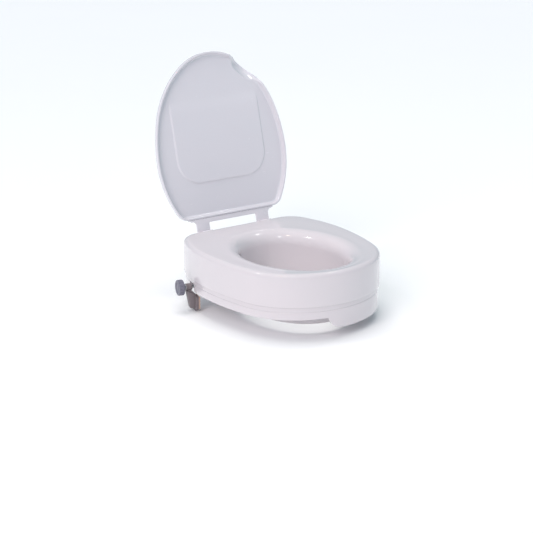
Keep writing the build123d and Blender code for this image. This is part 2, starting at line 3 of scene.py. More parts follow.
import bpy
import numpy as np
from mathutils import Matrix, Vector


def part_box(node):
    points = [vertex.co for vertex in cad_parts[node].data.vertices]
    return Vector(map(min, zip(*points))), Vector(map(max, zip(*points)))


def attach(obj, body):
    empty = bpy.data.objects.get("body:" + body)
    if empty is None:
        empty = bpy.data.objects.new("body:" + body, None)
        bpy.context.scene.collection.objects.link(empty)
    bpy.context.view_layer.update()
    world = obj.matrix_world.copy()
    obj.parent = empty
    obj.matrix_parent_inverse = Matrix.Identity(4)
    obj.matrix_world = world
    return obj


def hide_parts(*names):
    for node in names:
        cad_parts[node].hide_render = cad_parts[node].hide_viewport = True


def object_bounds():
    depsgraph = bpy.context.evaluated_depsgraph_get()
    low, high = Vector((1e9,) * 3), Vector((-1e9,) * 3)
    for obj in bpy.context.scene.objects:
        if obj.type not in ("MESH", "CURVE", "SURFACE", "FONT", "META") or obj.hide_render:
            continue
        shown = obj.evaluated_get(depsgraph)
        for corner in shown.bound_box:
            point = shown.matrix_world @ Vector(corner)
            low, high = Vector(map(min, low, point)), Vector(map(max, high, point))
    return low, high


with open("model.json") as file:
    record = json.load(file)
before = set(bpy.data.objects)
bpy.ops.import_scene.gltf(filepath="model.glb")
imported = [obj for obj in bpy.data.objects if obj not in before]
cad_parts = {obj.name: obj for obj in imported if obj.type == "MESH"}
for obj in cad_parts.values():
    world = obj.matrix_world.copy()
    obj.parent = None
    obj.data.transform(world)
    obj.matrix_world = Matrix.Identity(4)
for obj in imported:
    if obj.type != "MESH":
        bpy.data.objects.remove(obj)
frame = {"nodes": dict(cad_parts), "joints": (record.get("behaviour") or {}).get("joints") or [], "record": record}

cad_low, cad_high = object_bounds()

# Lengths in the shape functions are in millimetres, in the same frame as the CAD. new_piece() makes
# them metres.
MM = 0.001

# ---- Sizes read from the frame ------------------------------------------------------------
shell_high = np.array(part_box("seat_shell")[1]) / MM
tray_low, tray_high = (np.array(v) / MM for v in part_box("base_tray"))
joints = {joint["name"]: joint for joint in frame["joints"]}
PIVOT = np.array(joints["lid_hinge"]["pos_m"]) / MM
OPEN_ANGLE = np.radians(joints["lid_hinge"]["range_deg"][1])
SEAT_HALF_WIDTH = shell_high[0]
SEAT_TOP = shell_high[2]
SEAM_Z = tray_high[2]

# ---- Seat plan ----------------------------------------------------------------------------
REAR_Y = 205.0
WIDEST_Y = 51.0
SEAT_ARCS = dict(side=560.0, shoulder=151.0, side_turn=14.0, shoulder_turn=61.5, back=308.0, corner=55.0)
THROAT = dict(half_width=105.0, half_length=135.0, side=165.0, centre_y=-18.0)
SEAT_WALL = 4.0
BAND_STEP = 4.0
STEP_Z = 27.0
SKIRT_DRAFT = np.tan(np.radians(0.5))
TOP_ROUND = 10.0
THROAT_ROUND = 32.0
TOP_FALL = 1.2              # the top falls by this much towards the throat
FLOOR = 4.0
STEP_ROUND = 1.6            # both bends of the step in the skirt
SEAM_BEVEL = 0.6
THROAT_FOOT_Z = FLOOR + 0.4  # the throat's wall ends just above the tray's floor
PLAN_SPACING = 2.4          # between points round the seat's plan
THROAT_SPACING = 0.5        # between points round the throat's oval

# ---- Lid, drawn shut ----------------------------------------------------------------------
LID_HALF_WIDTH = 171.3
LID_WIDEST_Y = 42.0
LID_REAR_Y = 175.4
LID_ARCS = dict(side=334.0, shoulder=216.0, side_turn=17.2, shoulder_turn=54.4, back=233.0, corner=28.0)
RIM_Z = SEAT_TOP + 0.5
LID_DEPTH = 14.0
LID_CAVITY = 10.0
LID_RIM = 4.2
LID_COVE = 7.0
LID_ROUND = 8.0
LID_DOME = 1.5
LID_EDGE = 20.0             # rings follow the edge down to this distance inside it
LID_EDGE_ROUND = 1.0
LID_DOME_LENGTH = 190.0
LID_SPACING = 2.2
COVE_POWER = 2.6            # how sharply the cove turns into the ceiling
PANEL_HALF_WIDTH = 117.0
PANEL_REAR_Y = 97.0
PANEL_FRONT_Y = -130.0
PANEL_CORNER = 56.0
PANEL_STEP = 2.6
PANEL_SLOPE = 5.0
PANEL_FADE = (-95.0, -66.0)
PANEL_INSET = (8.0, 18.0)   # the panel's step grows between these distances inside the lid's edge
ARCH_MIDDLE = -46.0         # degrees round the lid's shoulder arc
ARCH_HALF_LENGTH = 56.0
ARCH_REACH = 43.0
ARCH_HEIGHT = 26.0
ARCH_SKEW = 0.85
ARCH_SKIN = 3.2
ARCH_POWER = 1.3
CAVITY_BLEND = 3.0
HOOD_BLEND = 4.0

# ---- Base tray ----------------------------------------------------------------------------
TRAY_WALL = 3.5
COLLAR_WALL = 3.0
LIP_DEPTH = 26.0
LIP_LEFT_X = -36.0
LIP_RIGHT_Y = -100.0
LIP_END = 38.0
LIP_LEAST = 0.3             # where there is no lip, the edge still stands this far down
TRAY_EDGE_ROUND = 0.9
COLLAR_ROUND = 0.6
UNDERSIDE_Z = 0.03          # clear of the plane that the tray rests on

# ---- Hinge strap, drawn shut, and the seat's lugs -----------------------------------------
STRAP_LOW = RIM_Z + 1.0
STRAP_THICKNESS = 3.0
STRAP_HALF_WIDTH = 112.0
STRAP_END_Y = PIVOT[1] + 5.5
BARREL_X = (70.0, 90.0)
BARREL_RADIUS = 4.5
LUG_X = ((63.5, 69.5), (90.5, 96.5))
LUG_REACH = 7.5             # from the pivot forward into the rear wall
STOP_TOP = PIVOT[2] - 8.3
STOP_THICKNESS = 5.0
STOP_REACH = 12.5
POCKET_X = (69.3, 90.7)
POCKET_RADIUS = 5.1
LEG_X = (63.0, 97.0)
FLANGE_THICKNESS = 3.0

# ---- Side clamps: u outwards, v along the band, z up, from the lower band's surface --------
CLAMP_TURN = np.radians(13.0)
BACK_RADIUS = SEAT_ARCS["back"]
BACK_CENTRE = np.array([SEAT_HALF_WIDTH - BACK_RADIUS, WIDEST_Y])
CLAMP_OUT = np.array([np.cos(CLAMP_TURN), np.sin(CLAMP_TURN)])
CLAMP_PLACE = BACK_CENTRE + (BACK_RADIUS - BAND_STEP) * CLAMP_OUT
SPINDLE_Z = SEAM_Z / 2
SPINDLE_RADIUS = 4.0
SPINDLE_U = (-41.7, 30.0)
SPINDLE_BEVEL = 0.8
THREAD_END_U = 1.0
THREAD_PITCH = 1.25
THREAD_DEPTH = 0.65
BOSS_U = (2.0, 15.0)
BOSS_RADIUS = 7.5
NOTCH_HALF_WIDTH = 13.5
NOTCH_DEPTH = 15.2
NOTCH_SLANT = 0.004         # share of its half width that each side of the notch leans over
ARM_HALF_WIDTH = 6.5
PLATE_U = (-10.5, -5.0)
PLATE_Z = (-48.0, -13.0)
PLATE_HALF_WIDTH = 15.0
PAD_U = (-14.4, -10.4)
PAD_Z = (-42.5, -14.5)
PAD_HALF_WIDTH = 13.5
RIDGE_U = (-15.0, -13.8)
RIDGE_Z = (-39.2, -17.9)    # first and last
RIDGES = 4
RIDGE_HALF_HEIGHT = 2.9
RIDGE_HALF_WIDTH = 13.0
KNOB_GAP = 1.2              # from the boss to the knob's hub
KNOB_HUB = 4.8
KNOB_THICKNESS = 12.5
KNOB_ROUND = 1.5
KNOB_RADIUS = 17.5
DISH_DEPTH = 1.5
FLUTES = 14
FLUTE_RADIUS = 3.0
FLUTE_OUT = 1.65


# ---- Plans --------------------------------------------------------------------------------
def egg_arcs(half_width, widest_y, rear_y, side, shoulder, side_turn, shoulder_turn, back, corner):
    """Right half of an egg plan as tangent arcs, nose first: centre, radius, first and last angle in
    degrees."""
    a, b = np.radians(side_turn), np.radians(shoulder_turn)
    side_c = np.array([half_width - side, widest_y])
    shoulder_c = side_c + (side - shoulder) * np.array([np.cos(a), -np.sin(a)])
    nose = shoulder + shoulder_c[0] / np.cos(b)
    nose_c = shoulder_c + (shoulder - nose) * np.array([np.cos(b), -np.sin(b)])
    back_c = np.array([half_width - back, widest_y])
    turn = np.arcsin((rear_y - corner - widest_y) / (back - corner))
    corner_c = back_c + (back - corner) * np.array([np.cos(turn), np.sin(turn)])
    return [(nose_c, nose, -90, -shoulder_turn), (shoulder_c, shoulder, -shoulder_turn, -side_turn),
            (side_c, side, -side_turn, 0), (back_c, back, 0, np.degrees(turn)),
            (corner_c, corner, np.degrees(turn), 90)]


def oval_arcs(half_width, half_length, side, centre_y):
    """Right half of a four-arc oval, front end first."""
    end = (side**2 - (side - half_width)**2 - half_length**2) / (2 * (side - half_length))
    turn = np.degrees(np.arccos((side - half_width) / (side - end)))
    reach = np.array([0, half_length - end])
    middle = np.array([0, centre_y])
    return [(middle - reach, end, -90, -turn), (np.array([half_width - side, centre_y]), side, -turn, turn),
            (middle + reach, end, turn, 90)]


def ring_of(arcs, spacing):
    """Closed ring of points and outward normals along the arcs, the rear line and their mirror image."""
    points, normals = [], []
    for centre, radius, first, last in arcs:
        count = max(4, int(round(radius * np.radians(last - first) / spacing)))
        angle = np.radians(np.linspace(first, last, count, endpoint=False))
        normal = np.stack([np.cos(angle), np.sin(angle)], 1)
        points.append(centre + radius * normal)
        normals.append(normal)
    end = centre + [0, radius]
    count = max(1, int(round(end[0] / spacing)))
    line = np.stack([np.linspace(end[0], 0, count + 1), np.full(count + 1, end[1])], 1)
    points.append(line)
    normals.append(np.tile([0.0, 1.0], (count + 1, 1)))
    right, outward = np.concatenate(points), np.concatenate(normals)
    flip = np.array([-1, 1])
    return np.concatenate([right, right[-2:0:-1] * flip]), np.concatenate([outward, outward[-2:0:-1] * flip])


def matched(points, normals, towards, centre):
    """Points and normals of a ring where rays from the centre through the other ring's points cross it."""
    def bearing(p):
        return np.arctan2(p[:, 1] - centre[1], p[:, 0] - centre[0])
    order = np.argsort(bearing(points))
    known = bearing(points)[order]
    asked = bearing(towards)
    table = np.concatenate([points, normals], 1)[order]
    found = np.stack([np.interp(asked, known, column, period=2 * np.pi) for column in table.T], 1)
    return found[:, :2], found[:, 2:]


def arc_profile(offset, height, radius, first, last, count):
    """Points of a profile arc (offset, height) about a centre, between two angles in degrees."""
    angle = np.radians(np.linspace(first, last, count))
    return np.stack([offset + radius * np.cos(angle), height + radius * np.sin(angle)], 1)


def at_height(plan, height):
    """Plan points with a height, one value or one for each."""
    return np.concatenate([plan, np.broadcast_to(height, (len(plan),))[:, None]], 1)


# ---- Meshes -------------------------------------------------------------------------------
def grid_faces(rows, columns, wrap_rows):
    """Corner numbers of the quads of a grid whose columns close on themselves."""
    row = np.arange(rows if wrap_rows else rows - 1)[:, None]
    column = np.arange(columns)[None, :]
    here, after = row * columns, ((row + 1) % rows) * columns
    beside = (column + 1) % columns
    return np.stack([here + column, here + beside, after + beside, after + column], -1).reshape(-1, 4)


def grid_mesh(grid, ends="open"):
    """Vertices and faces of a grid of rings: its ends joined to each other ("joined") or closed to
    points ("closed")."""
    rows, columns = grid.shape[:2]
    vertices = grid.reshape(-1, 3)
    faces = [grid_faces(rows, columns, ends == "joined")]
    if ends == "closed":
        first, last = len(vertices), len(vertices) + 1
        vertices = np.concatenate([vertices, grid[:1].mean(1), grid[-1:].mean(1)])
        column = np.arange(columns)
        beside = (column + 1) % columns
        base = (rows - 1) * columns
        faces.append(np.stack([beside, column, np.full(columns, first)], 1))
        faces.append(np.stack([base + column, base + beside, np.full(columns, last)], 1))
    return vertices, faces


def outline_of(corners, radii, steps=6):
    """Closed outline of a polygon given anticlockwise, its corners rounded: points and outward normals."""
    corners = np.array(corners, float)
    points, normals = [], []
    for i, (corner, radius) in enumerate(zip(corners, np.broadcast_to(radii, len(corners)))):
        coming, going = corner - corners[i - 1], corners[(i + 1) % len(corners)] - corner
        coming, going = coming / np.hypot(*coming), going / np.hypot(*going)
        turn = np.arctan2(coming[0] * going[1] - coming[1] * going[0], coming @ going)
        first = np.array([coming[1], -coming[0]])
        bend = np.sign(turn) * radius
        centre = corner - coming * radius * np.tan(abs(turn) / 2) - bend * first
        angle = np.arctan2(first[1], first[0]) + turn * np.linspace(0, 1, steps)
        normal = np.stack([np.cos(angle), np.sin(angle)], 1)
        points.append(centre + bend * normal)
        normals.append(normal)
    return np.concatenate(points), np.concatenate(normals)


def rectangle(across, along):
    """Corners of a rectangle between two values on each axis, anticlockwise."""
    (left, right), (low, high) = across, along
    return [(left, low), (right, low), (right, high), (left, high)]


def moulded(outline, low, high, rounding, axes=(0, 1, 2)):
    """Closed plate: an outline carried between two heights, its edges rounded. axes says which of x, y and z
    the outline's first and second coordinate and the height are."""
    points, normals = outline
    profile = np.concatenate([arc_profile(-rounding, low + rounding, rounding, -90, 0, 4),
                              arc_profile(-rounding, high - rounding, rounding, 0, 90, 4)])
    grid = np.array([at_height(points + d * normals, z) for d, z in profile])
    rows, columns = grid.shape[:2]
    vertices = np.empty((rows * columns, 3))
    vertices[:, axes] = grid.reshape(-1, 3)
    column = np.arange(columns)[None]
    return vertices, [grid_faces(rows, columns, False), column[:, ::-1], (rows - 1) * columns + column]


def turned(profile, count=40, ends="closed"):
    """Profile of (distance along X, radius) turned about the X axis."""
    angle = np.linspace(0, 2 * np.pi, count, endpoint=False)
    along, radius = np.array(profile, float).T[:, :, None]
    grid = np.stack([along + 0 * angle, radius * np.cos(angle), radius * np.sin(angle)], -1)
    return grid_mesh(grid, ends)


def moved(part, change):
    """The part with its points changed by a function."""
    return change(part[0]), part[1]


def flipped(part):
    """Mirror image across the middle plane."""
    return part[0] * [-1, 1, 1], part[1]


def new_piece(name, parts, body, slot, replaced, crease=40.0):
    """One object from closed parts (vertices in mm, lists of faces), each turned to face outwards."""
    vertices, corners, sizes, start = [], [], [], 0
    for points, faces in parts:
        volume = 0
        for face in faces:
            first, second, third = points[face[:, :1]], points[face[:, 1:-1]], points[face[:, 2:]]
            volume += (first * np.cross(second, third)).sum()
        for face in faces:
            corners.append((face if volume > 0 else face[:, ::-1]).ravel() + start)
            sizes.append(np.full(len(face), face.shape[1]))
        vertices.append(points)
        start += len(points)
    vertices, corners, sizes = (np.concatenate(v) for v in (vertices, corners, sizes))
    mesh = bpy.data.meshes.new(name)
    mesh.vertices.add(len(vertices))
    mesh.vertices.foreach_set("co", (vertices * MM).ravel())
    mesh.loops.add(len(corners))
    mesh.loops.foreach_set("vertex_index", corners.astype(np.int32))
    mesh.polygons.add(len(sizes))
    mesh.polygons.foreach_set("loop_start", (np.cumsum(sizes) - sizes).astype(np.int32))
    mesh.update(calc_edges=True)
    mesh.validate()
    mesh.shade_smooth()
    mesh.set_sharp_from_angle(angle=np.radians(crease))
    piece = bpy.data.objects.new(name, mesh)
    bpy.context.scene.collection.objects.link(piece)
    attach(piece, body)
    piece.data.materials.append(MATERIALS[slot])
    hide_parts(*replaced)


# ---- Shader expressions -------------------------------------------------------------------
class Field:
    """A value that varies over a surface. Arithmetic on it adds Math nodes."""

    def __init__(self, finish, socket):
        self.finish = finish
        self.socket = socket

    def _math(self, operation, first, second):
        return self.finish.node("ShaderNodeMath", {"operation": operation}, {0: first, 1: second})

    def __add__(self, other):
        return self._math("ADD", self, other)

    def __radd__(self, other):
        return self._math("ADD", other, self)

    def __sub__(self, other):
        return self._math("SUBTRACT", self, other)

    def __rsub__(self, other):
        return self._math("SUBTRACT", other, self)

    def __mul__(self, other):
        return self._math("MULTIPLY", self, other)

    def __rmul__(self, other):
        return self._math("MULTIPLY", other, self)


class Finish:
    """One material: a Principled shader and what feeds it."""

    def __init__(self, name, **constants):
        self.material = bpy.data.materials.new(name)
        self.material.use_nodes = True
        self.tree = self.material.node_tree
        self.shader = self.tree.nodes["Principled BSDF"]
        for socket, value in constants.items():
            self.shader.inputs[socket.replace("_", " ")].default_value = value
        self.place = self.node("ShaderNodeTexCoord", output="Object")

    def node(self, kind, settings=None, inputs=None, output=0):
        """Adds a node: its settings first, then its sockets' values or links. Returns one output."""
        node = self.tree.nodes.new(kind)
        for key, value in (settings or {}).items():
            setattr(node, key, value)
        for key, value in (inputs or {}).items():
            if isinstance(value, Field):
                self.tree.links.new(value.socket, node.inputs[key])
            else:
                node.inputs[key].default_value = value
        return Field(self, node.outputs[output])

    def noise(self, scale, detail=2.0, roughness=0.5, stretch=(1, 1, 1)):
        """Noise from 0 to 1; scale is in cells per metre."""
        where = self.place
        if stretch != (1, 1, 1):
            where = self.node("ShaderNodeMapping", None, {"Vector": self.place, "Scale": stretch})
        inputs = {"Vector": where, "Scale": scale, "Detail": detail, "Roughness": roughness}
        return self.node("ShaderNodeTexNoise", None, inputs)

    def ramp(self, value, low, high):
        """0 below low and 1 above high, smooth between."""
        settings = {"interpolation_type": "SMOOTHSTEP"}
        return self.node("ShaderNodeMapRange", settings, {"Value": value, "From Min": low, "From Max": high})

    def mix(self, factor, first, second):
        """Colour between two colours."""
        settings = {"data_type": "RGBA"}
        return self.node("ShaderNodeMix", settings, {0: factor, 6: first, 7: second}, output=2)

    def edges(self):
        """1 on convex edges, 0.5 on flat ground."""
        return self.node("ShaderNodeNewGeometry", output="Pointiness")

    def feed(self, socket, value):
        self.tree.links.new(value.socket, self.shader.inputs[socket])

    def relief(self, layers):
        """Bump from a list of (height field, distance in metres), one on top of the other."""
        normal = None
        for height, distance in layers:
            inputs = {"Height": height, "Distance": distance, "Strength": 1.0}
            if normal is not None:
                inputs["Normal"] = normal
            normal = self.node("ShaderNodeBump", None, inputs, output="Normal")
        self.feed("Normal", normal)


def rgb(red, green, blue):
    return (red, green, blue, 1.0)


# ---- Materials ----------------------------------------------------------------------------
def gloss_plastic(name, light, shade, roughness, rub, hollow=rgb(0.52, 0.54, 0.60)):
    """Glossy moulding: faint clouding, orange-peel gloss, fine rub marks, a little dust, and painted shade in the
    hollows.
    """
    finish = Finish(name, IOR=1.49, Coat_IOR=1.5, Coat_Roughness=0.02)
    finish.shader.inputs["Subsurface Weight"].default_value = 0.08
    finish.shader.inputs["Subsurface Radius"].default_value = (0.012, 0.010, 0.010)
    finish.shader.inputs["Subsurface Scale"].default_value = 0.5
    cloud = finish.noise(14.0, 3.0)
    speck = finish.ramp(finish.noise(900.0, 2.0, 0.6), 0.68, 0.80)
    scuff = finish.ramp(finish.noise(60.0, 5.0, 0.65, (1.0, 6.0, 1.0)), 0.60, 0.78)
    colour = finish.mix(cloud, light, shade)
    colour = finish.mix(speck * 0.10, colour, rgb(0.50, 0.47, 0.44))
    # Painted shade: concave places (low pointiness) are tinted towards the hollow colour, a bluish grey shade
    # colour.
    concave_shade_mask = 1.0 - finish.ramp(finish.edges(), 0.425, 0.49)
    colour = finish.mix(concave_shade_mask * 0.8, colour, hollow)
    finish.feed("Base Color", colour)
    finish.feed("Roughness", roughness + rub * scuff + 0.05 * finish.noise(35.0, 4.0))
    finish.feed("Coat Weight", 0.75 - 0.35 * scuff)
    finish.relief([(finish.noise(160.0, 1.0), 0.00012), (finish.noise(1500.0, 2.0), 0.000012)])
    return finish.material


def satin_plastic(name, light, shade, worn, roughness):
    """Moulded grey plastic with a fine spark-eroded grain, paler where edges have been handled."""
    finish = Finish(name, IOR=1.47)
    grain = finish.noise(2600.0, 2.0, 0.6)
    cloud = finish.noise(70.0, 3.0)
    edge = finish.ramp(finish.edges(), 0.53, 0.62)
    handled = edge * finish.ramp(finish.noise(220.0, 3.0), 0.35, 0.65)
    colour = finish.mix(cloud, light, shade)
    colour = finish.mix(handled * 0.6, colour, worn)
    finish.feed("Base Color", colour)
    finish.feed("Roughness", roughness + 0.12 * grain - 0.10 * handled)
    finish.relief([(grain, 0.00005), (finish.noise(380.0, 2.0), 0.00004)])
    return finish.material


def soft_rubber(name, light, shade):
    """Matte rubber: pores and mottled colour."""
    finish = Finish(name, IOR=1.45)
    pores = finish.ramp(finish.noise(1400.0, 3.0, 0.6), 0.55, 0.75)
    mottle = finish.noise(180.0, 4.0)
    colour = finish.mix(mottle, light, shade)
    finish.feed("Base Color", finish.mix(pores * 0.35, colour, shade))
    finish.feed("Roughness", 0.72 + 0.18 * mottle)
    finish.relief([(pores, 0.00008), (finish.noise(260.0, 2.0), 0.0001)])
    return finish.material


def plated_steel(name, tint, roughness):
    """Zinc-plated or stainless steel: brushed streaks, spangle and dulled patches."""
    finish = Finish(name, Metallic=1.0)
    streak = finish.noise(1800.0, 3.0, 0.6, (0.12, 1.0, 1.0))
    patch = finish.ramp(finish.noise(140.0, 4.0, 0.6), 0.45, 0.70)
    finish.feed("Base Color", finish.mix(patch * 0.5, tint, rgb(0.46, 0.45, 0.43)))
    finish.feed("Roughness", roughness + 0.18 * streak + 0.16 * patch)
    finish.relief([(streak, 0.00003)])
    return finish.material


def studio_floor():
    """Pale matte sweep with the faintest unevenness."""
    finish = Finish("pale_floor", Roughness=0.9)
    tone = finish.noise(2.0, 2.0)
    finish.feed("Base Color", finish.mix(tone, rgb(0.985, 0.985, 0.985), rgb(0.97, 0.97, 0.97)))
    return finish.material


MATERIALS = {
    "seat_white": gloss_plastic("seat_gloss_white", rgb(0.700, 0.645, 0.665),
                                rgb(0.680, 0.635, 0.660), 0.16, 0.10),
    # The lid's last colour is the painted bluish shade in its coves and hollows.
    "lid_white": gloss_plastic("lid_gloss_white", rgb(0.735, 0.706, 0.745),
                               rgb(0.715, 0.695, 0.737), 0.20, 0.10, rgb(0.46, 0.60, 0.72)),
    "hinge_white": gloss_plastic("hinge_satin_white", rgb(0.82, 0.78, 0.82),
                                 rgb(0.80, 0.77, 0.81), 0.24, 0.10),
    "clamp_grey": satin_plastic("clamp_grey_satin", rgb(0.225, 0.190, 0.200), rgb(0.180, 0.152, 0.160),
                                rgb(0.34, 0.31, 0.33), 0.36),
    "knob_grey": satin_plastic("knob_grey_satin", rgb(0.205, 0.198, 0.248), rgb(0.155, 0.150, 0.195),
                               rgb(0.38, 0.38, 0.46), 0.34),
    "pad_rubber": soft_rubber("pad_tan_rubber", rgb(0.68, 0.50, 0.41), rgb(0.57, 0.40, 0.32)),
    "foot_rubber": soft_rubber("foot_brown_rubber", rgb(0.20, 0.13, 0.09), rgb(0.13, 0.085, 0.06)),
    "clamp_steel": plated_steel("clamp_zinc", rgb(0.72, 0.72, 0.74), 0.22),
    "screw_steel": plated_steel("screw_stainless", rgb(0.76, 0.76, 0.77), 0.18),
}


# ---- Seat shell ---------------------------------------------------------------------------
def seat_rings():
    """Seat plan with its normals, and the throat's oval with its own, point for point."""
    plan, outward = ring_of(egg_arcs(SEAT_HALF_WIDTH, WIDEST_Y, REAR_Y, **SEAT_ARCS), PLAN_SPACING)
    oval, away = ring_of(oval_arcs(**THROAT), THROAT_SPACING)
    return plan, outward, *matched(oval, away, plan, (0, THROAT["centre_y"]))


def seat_shell():
    """Closed hollow moulding: a profile of offsets and heights carried round the seat plan on the outside and
    round the throat oval on the inside, joined by straight rays across the top and the ceiling."""
    plan, outward, throat, away = seat_rings()
    top_offset = -SKIRT_DRAFT * (SEAT_TOP - TOP_ROUND - STEP_Z)
    skirt = np.concatenate([
        [(-BAND_STEP - SEAM_BEVEL, SEAM_Z), (-BAND_STEP, SEAM_Z + SEAM_BEVEL), (-BAND_STEP, SEAM_Z + 4.0),
         (-BAND_STEP, STEP_Z - 3.0)],
        arc_profile(-BAND_STEP + STEP_ROUND, STEP_Z - STEP_ROUND, STEP_ROUND, 180, 90, 6),
        [(-STEP_ROUND - 0.2, STEP_Z)],
        arc_profile(-STEP_ROUND, STEP_Z + STEP_ROUND, STEP_ROUND, -90, 0, 7),
        [(-SKIRT_DRAFT * (z - STEP_Z), z) for z in np.linspace(STEP_Z + 5, SEAT_TOP - TOP_ROUND - 4, 7)],
        arc_profile(top_offset - TOP_ROUND, SEAT_TOP - TOP_ROUND, TOP_ROUND, 0, 90, 14),
    ])
    outer = [at_height(plan + d * outward, z) for d, z in skirt]

    fall = SEAT_TOP - TOP_FALL
    funnel = arc_profile(THROAT_ROUND, fall - THROAT_ROUND, THROAT_ROUND, 90, 180, 18)
    inner_wall = np.array([(0, z) for z in np.linspace(fall - THROAT_ROUND - 6, THROAT_FOOT_Z, 9)])
    inner = [at_height(throat + d * away, z) for d, z in np.concatenate([funnel, inner_wall])]
    share = np.linspace(0, 1, 14)[1:-1, None, None]
    ease = share**2 * (3 - 2 * share)
    top = outer[-1][None] * (1 - share) + inner[0][None] * share
    top[:, :, 2] = SEAT_TOP - TOP_FALL * ease[:, :, 0]

    ceiling = SEAT_TOP - SEAT_WALL - TOP_FALL
    back = np.concatenate([
        [(SEAT_WALL, THROAT_FOOT_Z), (SEAT_WALL, 20.0), (SEAT_WALL, 50.0)],
        arc_profile(THROAT_ROUND + SEAT_WALL, ceiling - THROAT_ROUND, THROAT_ROUND, 180, 90, 10),
    ])
    behind = [at_height(throat + d * away, z) for d, z in back]
    lining = np.concatenate([
        arc_profile(top_offset - TOP_ROUND, SEAT_TOP - TOP_ROUND - 1.2, TOP_ROUND - SEAT_WALL, 90, 0, 6),
        [(-SEAT_WALL, STEP_Z + SEAT_WALL + 1), (-SEAT_WALL - 0.4, STEP_Z + SEAT_WALL),
         (-SEAT_WALL - BAND_STEP, STEP_Z + SEAT_WALL), (-SEAT_WALL - BAND_STEP, SEAM_Z)],
    ])
    inside = [at_height(plan + d * outward, z) for d, z in lining]
    return np.concatenate([np.array(outer), top, np.array(inner), np.array(behind), np.array(inside)])


def barrel_pockets(grid):
    """Presses the rear wall in round the hinge barrels: y stays ahead of a cylinder about the pivot."""
    x, y, z = np.abs(grid[..., 0]), grid[..., 1], grid[..., 2]
    depth = np.sqrt(np.clip(POCKET_RADIUS**2 - (z - PIVOT[2])**2, 0, None))
    near = (x > POCKET_X[0]) & (x < POCKET_X[1]) & (depth > 0)
    near &= (y > REAR_Y - TOP_ROUND - 2) & (z < SEAT_TOP - 0.5)
    grid[..., 1] = np.where(near, np.minimum(y, PIVOT[1] - depth), y)
    return grid


def hinge_lugs():
    """Pin lugs and stop ledges on the rear wall."""
    y, z = PIVOT[1:]
    r = BARREL_RADIUS
    foot = y - LUG_REACH
    corners = [(foot, z - r), (y + r, z - r), (y + r, z + r), (y - r, z + r), (y - r, z), (foot, z)]
    side = outline_of(corners, (0.3, r, r, r, 0.3, 0.3), 9)
    solids = [moulded(side, *ends, 0.5, (1, 2, 0)) for ends in LUG_X]
    ledge = outline_of(rectangle(BARREL_X, (REAR_Y - 3, REAR_Y + STOP_REACH)), 2.0)
    solids.append(moulded(ledge, STOP_TOP - STOP_THICKNESS, STOP_TOP, 0.8))
    return solids + [flipped(part) for part in solids]


new_piece("seat_shell_moulding", [grid_mesh(barrel_pockets(seat_shell()), "joined")] + hinge_lugs(),
          "seat", "seat_white", ["seat_shell"])


# ---- Base tray ----------------------------------------------------------------------------
def clamp_coordinates(points):
    """u and v of plan points, for the clamp on their own side."""
    dx, dy = np.abs(points[:, 0]) - CLAMP_PLACE[0], points[:, 1] - CLAMP_PLACE[1]
    c, s = np.cos(CLAMP_TURN), np.sin(CLAMP_TURN)
    return dx * c + dy * s, dy * c - dx * s


def lip_depth(x, y):
    """Depth of the front lip: each end rises in a quarter ellipse, at the left by x and at the right by y."""
    def end(distance):
        share = np.clip(distance / LIP_END, 0, 1)
        return LIP_DEPTH * np.sqrt(1 - (1 - share)**2)
    depth = np.minimum(end(x - LIP_LEFT_X), end(LIP_RIGHT_Y - y))
    return np.maximum(np.where(y < 0, depth, 0), LIP_LEAST)


